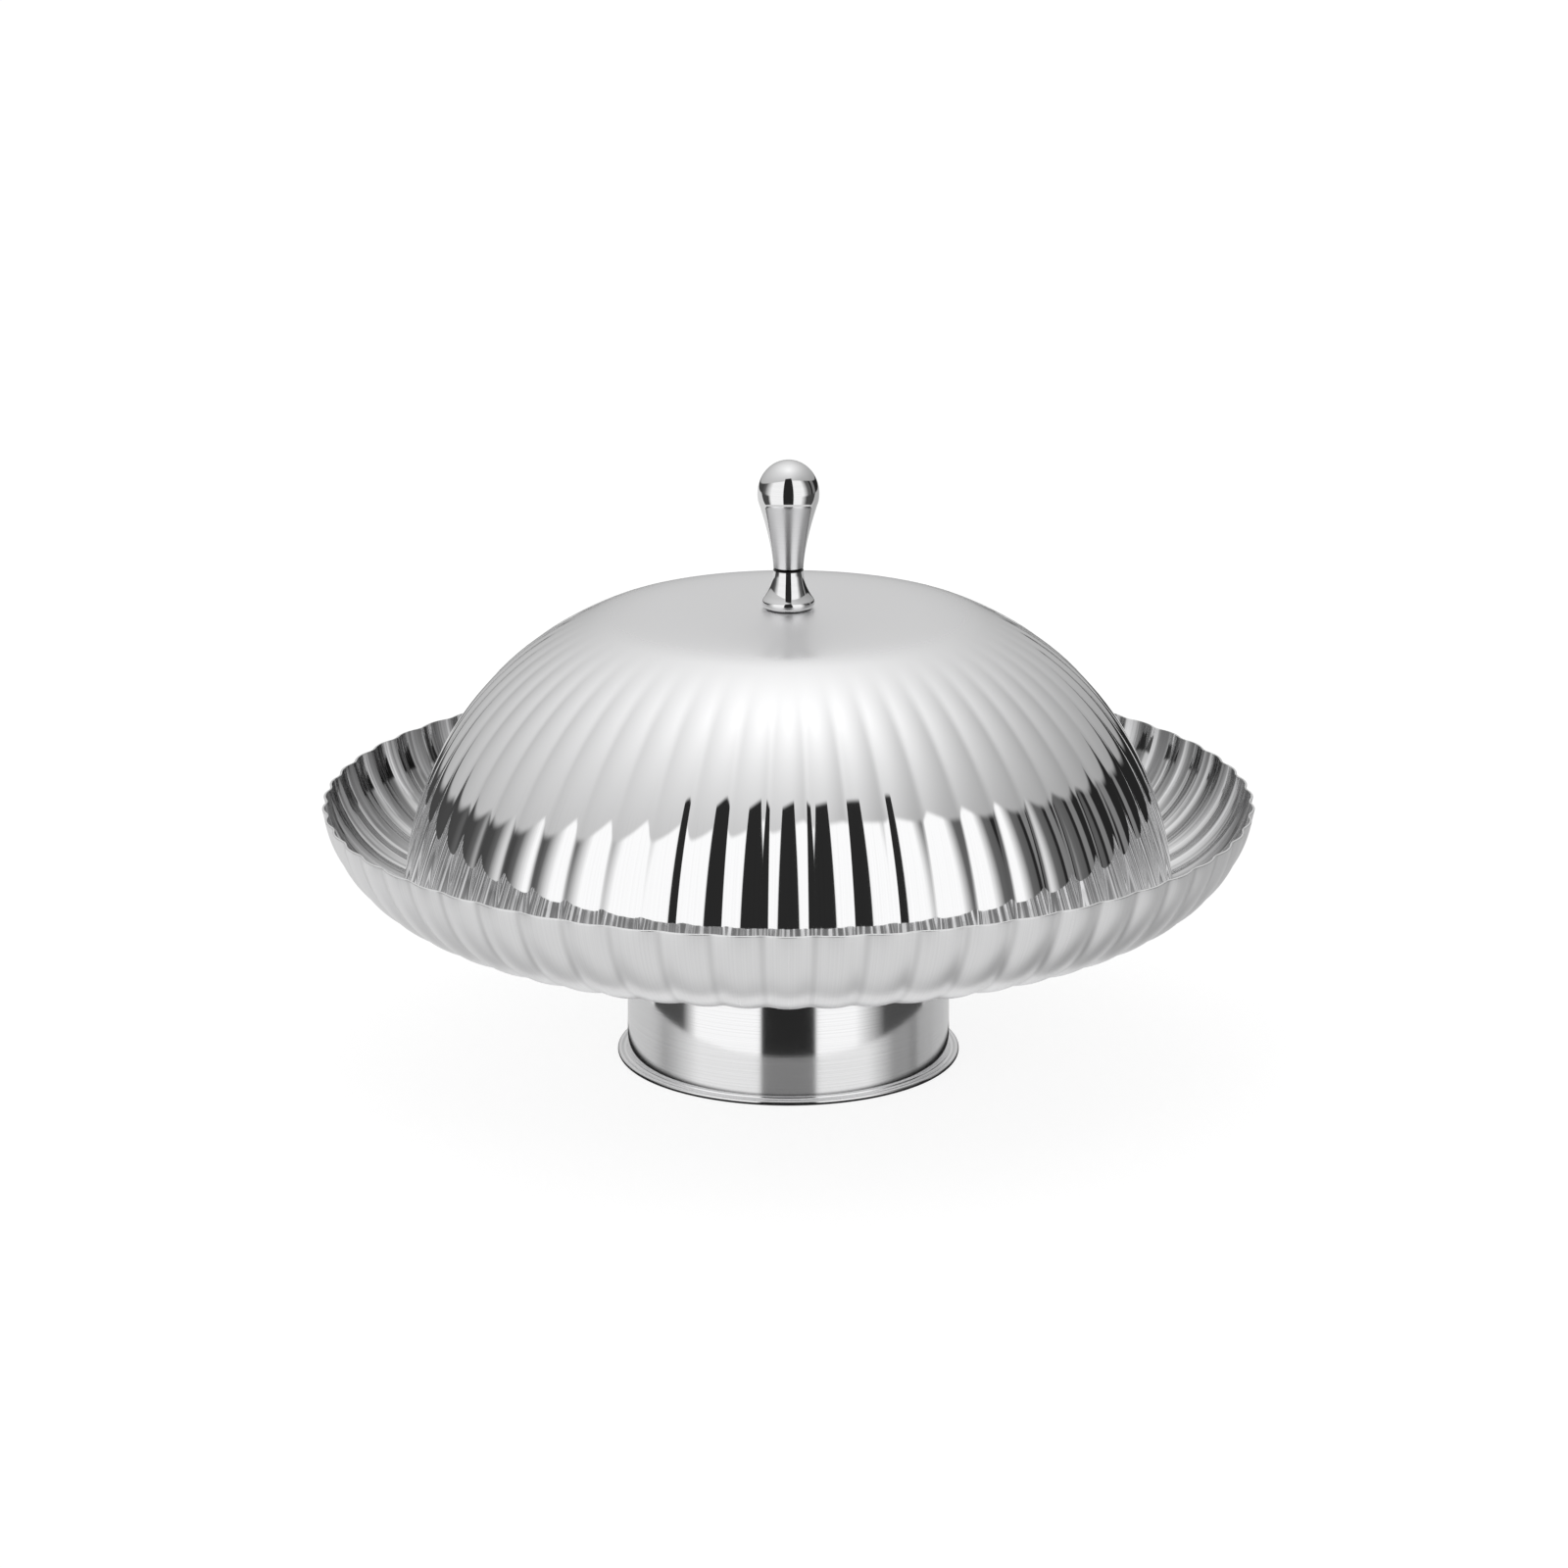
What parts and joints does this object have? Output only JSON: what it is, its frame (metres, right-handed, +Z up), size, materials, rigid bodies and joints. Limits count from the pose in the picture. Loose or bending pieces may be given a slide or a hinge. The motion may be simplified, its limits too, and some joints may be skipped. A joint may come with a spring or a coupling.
{
  "type": "covered serving dish",
  "caption": "Fluted steel serving dish on a pedestal foot, with a lift-off fluted dome lid and a turned knob, for keeping buffet food covered.",
  "frame": {"origin": "on the table, at the centre of the foot", "axes": "+Z up along the axis of the foot, dish, lid and knob; -Y faces the viewer of the picture"},
  "size_m": [0.38, 0.38, 0.2493],
  "materials": {
    "dish_steel": "soft polish",
    "foot_steel": "spun satin",
    "lid_steel": "mirror polish",
    "knob_steel": "mirror polish",
    "fastener_steel": "plain bright"
  },
  "bodies": {
    "base": {"serving_bowl": "dish_steel", "foot_ring": "foot_steel"},
    "lid": {"lid_dome": "lid_steel", "knob_ferrule": "knob_steel", "knob_grip": "knob_steel", "knob_screw": "fastener_steel", "knob_washer": "fastener_steel", "knob_lock_washer": "fastener_steel"}
  },
  "joints": [
    {"name": "lid_lift", "type": "slide", "parent": "base", "child": "lid", "axis": [0, 0, 1], "range_m": [0, 0.2]}
  ]
}
